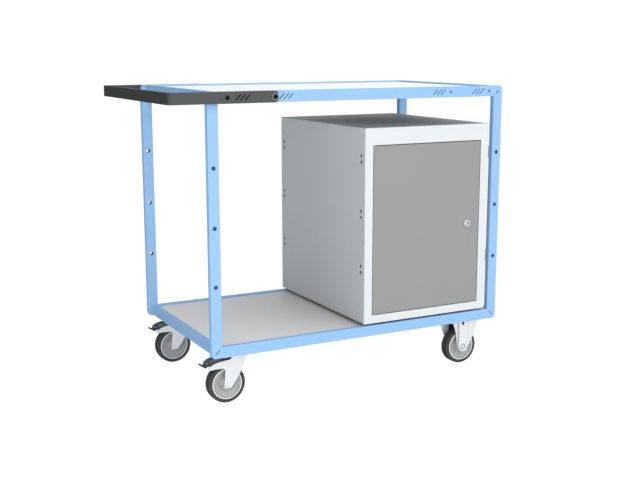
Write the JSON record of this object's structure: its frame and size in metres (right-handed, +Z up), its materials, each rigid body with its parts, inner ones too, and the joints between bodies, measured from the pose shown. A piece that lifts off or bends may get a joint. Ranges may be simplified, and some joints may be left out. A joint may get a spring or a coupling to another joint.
{
  "type": "mobile workbench cabinet",
  "caption": "Tube-framed workbench trolley with worktop, open shelf bay, lockable hinged-door steel cabinet, push handle, braked swivel casters and fixed casters.",
  "frame": {"origin": "on the floor under the middle of the bounding box", "axes": "+X along the length away from the push handle, the cabinet door faces -Y, +Z up"},
  "size_m": [1.202, 0.652, 0.9825],
  "materials": {
    "blue_paint": "light blue powder coat on steel tube",
    "dark_paint": "dark grey powder coat on steel",
    "white_board": "white laminate on board",
    "grey_board": "grey laminate on board",
    "white_paint": "white powder coat on sheet steel",
    "side_paint": "light grey powder coat on sheet steel",
    "grey_paint": "mid grey powder coat on sheet steel",
    "nickel": "nickel plate",
    "zinc": "zinc plate",
    "rubber": "dark grey rubber",
    "wheel_plastic": "grey moulded plastic",
    "black_plastic": "black moulded plastic"
  },
  "bodies": {
    "frame": {"front_left_post": "blue_paint", "front_right_post": "blue_paint", "front_top_rail": "blue_paint", "front_bottom_rail": "blue_paint", "rear_left_post": "blue_paint", "rear_right_post": "blue_paint", "rear_top_rail": "blue_paint", "rear_bottom_rail": "blue_paint", "left_lower_end_rail": "blue_paint", "left_upper_end_rail": "blue_paint", "right_lower_end_rail": "blue_paint", "right_upper_end_rail": "blue_paint", "left_worktop_bearer": "blue_paint", "right_worktop_bearer": "blue_paint", "left_caster_bearer": "blue_paint", "right_caster_bearer": "blue_paint", "push_handle": "dark_paint", "worktop": "white_board", "lower_shelf": "grey_board", "cabinet_face_frame": "white_paint", "cabinet_back": "side_paint", "cabinet_top": "side_paint", "cabinet_base": "side_paint", "cabinet_left_side": "side_paint", "cabinet_right_side": "side_paint", "cabinet_inner_shelf": "side_paint", "front_upper_bracket": "side_paint", "front_lower_bracket": "side_paint", "rear_upper_bracket": "side_paint", "rear_lower_bracket": "side_paint", "front_handle_bolt": "zinc", "rear_handle_bolt": "zinc", "front_left_caster_plate": "zinc", "rear_left_caster_plate": "zinc", "front_right_fork": "zinc", "front_right_axle": "zinc", "rear_right_fork": "zinc", "rear_right_axle": "zinc"},
    "door": {"door_panel": "grey_paint", "upper_hinge_pin": "zinc", "lower_hinge_pin": "zinc", "lock_housing": "nickel"},
    "lock": {"lock_plug": "nickel", "lock_cam": "zinc"},
    "front_left_swivel": {"front_left_fork": "zinc", "front_left_axle": "zinc"},
    "front_left_wheel": {"front_left_tyre": "rubber", "front_left_wheel_centre": "wheel_plastic"},
    "front_left_pedal": {"front_left_brake_pedal": "black_plastic"},
    "front_right_wheel": {"front_right_tyre": "rubber", "front_right_wheel_centre": "wheel_plastic"},
    "rear_left_swivel": {"rear_left_fork": "zinc", "rear_left_axle": "zinc"},
    "rear_left_wheel": {"rear_left_tyre": "rubber", "rear_left_wheel_centre": "wheel_plastic"},
    "rear_left_pedal": {"rear_left_brake_pedal": "black_plastic"},
    "rear_right_wheel": {"rear_right_tyre": "rubber", "rear_right_wheel_centre": "wheel_plastic"}
  },
  "joints": [
    {"name": "door_hinge", "type": "hinge", "parent": "frame", "child": "door", "pos_m": [0.1002, -0.302, 0.5177], "axis": [0, 0, -1], "range_deg": [0, 110]},
    {"name": "lock_turn", "type": "hinge", "parent": "door", "child": "lock", "pos_m": [0.4687, -0.3075, 0.5158], "axis": [0, -1, 0], "range_deg": [0, 90]},
    {"name": "front_left_swivel", "type": "hinge", "parent": "frame", "child": "front_left_swivel", "pos_m": [-0.37, -0.2425, 0.1607], "axis": [0, 0, 1], "continuous": true},
    {"name": "front_left_wheel_spin", "type": "hinge", "parent": "front_left_swivel", "child": "front_left_wheel", "pos_m": [-0.4092, -0.2425, 0.0625], "axis": [0, 1, 0], "continuous": true},
    {"name": "front_left_brake", "type": "hinge", "parent": "front_left_swivel", "child": "front_left_pedal", "pos_m": [-0.4012, -0.2425, 0.1335], "axis": [0, -1, 0], "range_deg": [0, 12]},
    {"name": "front_right_wheel_spin", "type": "hinge", "parent": "frame", "child": "front_right_wheel", "pos_m": [0.492, -0.2425, 0.0625], "axis": [0, 1, 0], "continuous": true},
    {"name": "rear_left_swivel", "type": "hinge", "parent": "frame", "child": "rear_left_swivel", "pos_m": [-0.37, 0.2425, 0.1607], "axis": [0, 0, 1], "continuous": true},
    {"name": "rear_left_wheel_spin", "type": "hinge", "parent": "rear_left_swivel", "child": "rear_left_wheel", "pos_m": [-0.4092, 0.2425, 0.0625], "axis": [0, 1, 0], "continuous": true},
    {"name": "rear_left_brake", "type": "hinge", "parent": "rear_left_swivel", "child": "rear_left_pedal", "pos_m": [-0.4012, 0.2425, 0.1335], "axis": [0, -1, 0], "range_deg": [0, 12]},
    {"name": "rear_right_wheel_spin", "type": "hinge", "parent": "frame", "child": "rear_right_wheel", "pos_m": [0.492, 0.2425, 0.0625], "axis": [0, 1, 0], "continuous": true}
  ]
}
